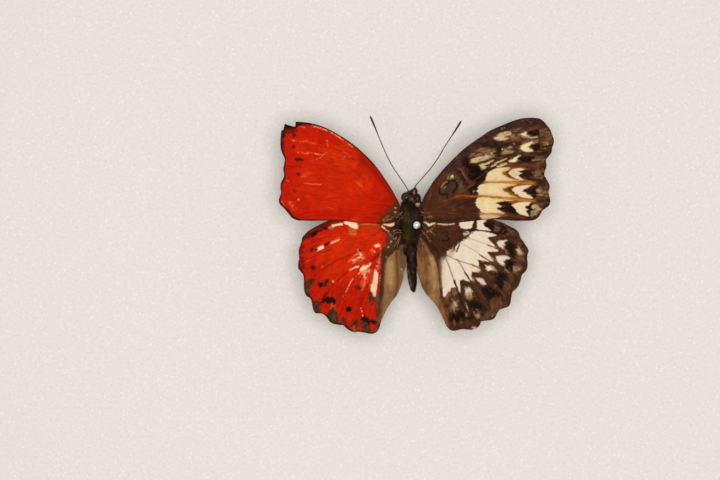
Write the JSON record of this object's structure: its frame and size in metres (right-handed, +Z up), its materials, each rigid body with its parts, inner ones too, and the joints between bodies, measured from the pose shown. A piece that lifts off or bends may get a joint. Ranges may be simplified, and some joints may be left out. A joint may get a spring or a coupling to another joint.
{
  "type": "pinned butterfly specimen",
  "caption": "Spread butterfly, one half red and the other brown and cream, held level on a steel insect pin over a small white foam block.",
  "frame": {"origin": "on the foam block's resting face, on the butterfly's midline, below the pin", "axes": "+Z up, +Y towards the head, +X towards the brown half, so the wings span X"},
  "size_m": [0.0642, 0.0508, 0.04],
  "materials": {
    "foam": "matte",
    "pin_steel": "polished",
    "body_fur": "matte",
    "eye": "gloss",
    "horn": "satin",
    "red_wing": "matte",
    "brown_wing": "matte"
  },
  "bodies": {
    "root": {"foam_block": "foam", "pin_shaft": "pin_steel", "pin_head": "pin_steel", "thorax": "body_fur", "head": "body_fur", "abdomen": "body_fur", "eye_left": "eye", "eye_right": "eye", "palp_left": "body_fur", "palp_right": "body_fur", "tongue": "horn", "antenna_left": "horn", "antenna_right": "horn", "forewing_left": "red_wing", "hindwing_left": "red_wing", "forewing_right": "brown_wing", "hindwing_right": "brown_wing", "foreleg_left": "horn", "foreleg_right": "horn", "midleg_left": "horn", "midleg_right": "horn", "hindleg_left": "horn", "hindleg_right": "horn"}
  },
  "joints": []
}
